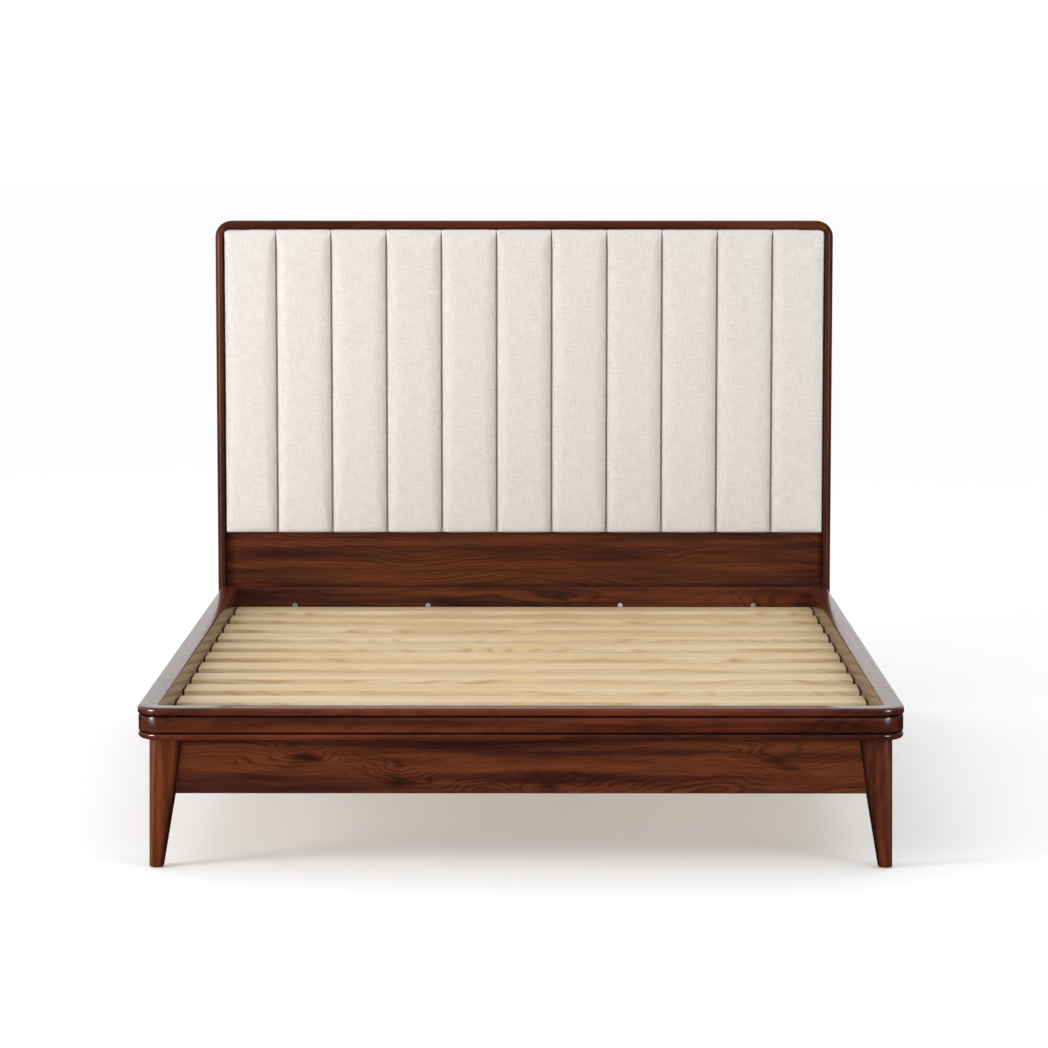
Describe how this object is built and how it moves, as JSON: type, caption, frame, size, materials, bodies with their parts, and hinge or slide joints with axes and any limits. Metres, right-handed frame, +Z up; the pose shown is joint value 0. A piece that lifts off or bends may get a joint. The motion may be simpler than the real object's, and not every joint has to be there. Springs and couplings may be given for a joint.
{
  "type": "bed frame",
  "caption": "Queen-size wooden platform bed frame with tapered legs, a beaded rim with rounded corners, a slatted base and a channel-upholstered headboard in a bullnosed wood frame.",
  "frame": {"origin": "on the floor, under the middle of the whole bed's box", "axes": "+X to the right seen from the foot, +Y from the foot towards the headboard, +Z up"},
  "size_m": [1.66, 2.195, 1.337],
  "materials": {
    "stained_hardwood": "red-brown stained hardwood under satin lacquer",
    "veneered_back": "stained veneer, matt lacquer",
    "pine": "planed, unfinished",
    "birch_plywood": "sanded, unfinished",
    "beech": "turned, unfinished",
    "ivory_linen": "plain-woven linen over foam",
    "zinc_plated_steel": "bright zinc plate",
    "black_nylon": "moulded, fine matt texture"
  },
  "bodies": {
    "bed_frame": {"apron_foot": "stained_hardwood", "apron_head": "stained_hardwood", "apron_left": "stained_hardwood", "apron_right": "stained_hardwood", "beam_hangers": "zinc_plated_steel", "bracket_screws": "zinc_plated_steel", "centre_beam": "pine", "centre_leg_front": "pine", "centre_leg_rear": "pine", "channel_pad_01": "ivory_linen", "channel_pad_02": "ivory_linen", "channel_pad_03": "ivory_linen", "channel_pad_04": "ivory_linen", "channel_pad_05": "ivory_linen", "channel_pad_06": "ivory_linen", "channel_pad_07": "ivory_linen", "channel_pad_08": "ivory_linen", "channel_pad_09": "ivory_linen", "channel_pad_10": "ivory_linen", "channel_pad_11": "ivory_linen", "corner_brackets": "zinc_plated_steel", "dowels": "beech", "foot_inserts": "zinc_plated_steel", "glides": "black_nylon", "hanger_bolts": "zinc_plated_steel", "headboard_back_panel": "veneered_back", "headboard_bolts": "zinc_plated_steel", "headboard_bottom_rail": "stained_hardwood", "headboard_lower_board": "stained_hardwood", "headboard_stile_left": "stained_hardwood", "headboard_stile_right": "stained_hardwood", "headboard_top_rail": "stained_hardwood", "hex_nuts": "zinc_plated_steel", "ledger_left": "pine", "ledger_right": "pine", "leg_foot_left": "stained_hardwood", "leg_foot_right": "stained_hardwood", "leg_head_left": "stained_hardwood", "leg_head_right": "stained_hardwood", "rim_foot": "stained_hardwood", "rim_head": "stained_hardwood", "rim_left": "stained_hardwood", "rim_right": "stained_hardwood", "slat_01": "pine", "slat_02": "pine", "slat_03": "pine", "slat_04": "pine", "slat_05": "pine", "slat_06": "pine", "slat_07": "pine", "slat_08": "pine", "slat_09": "pine", "slat_10": "pine", "slat_11": "pine", "slat_12": "pine", "slat_screws": "zinc_plated_steel", "upholstery_board": "birch_plywood"},
    "front_leveller": {"levelling_foot_front": "black_nylon"},
    "rear_leveller": {"levelling_foot_rear": "black_nylon"}
  },
  "joints": [
    {"name": "front_leveller_screw", "type": "slide", "parent": "bed_frame", "child": "front_leveller", "axis": [0, 0, -1], "range_m": [-0.0077, 0.012]},
    {"name": "rear_leveller_screw", "type": "slide", "parent": "bed_frame", "child": "rear_leveller", "axis": [0, 0, -1], "range_m": [-0.0077, 0.012]}
  ]
}
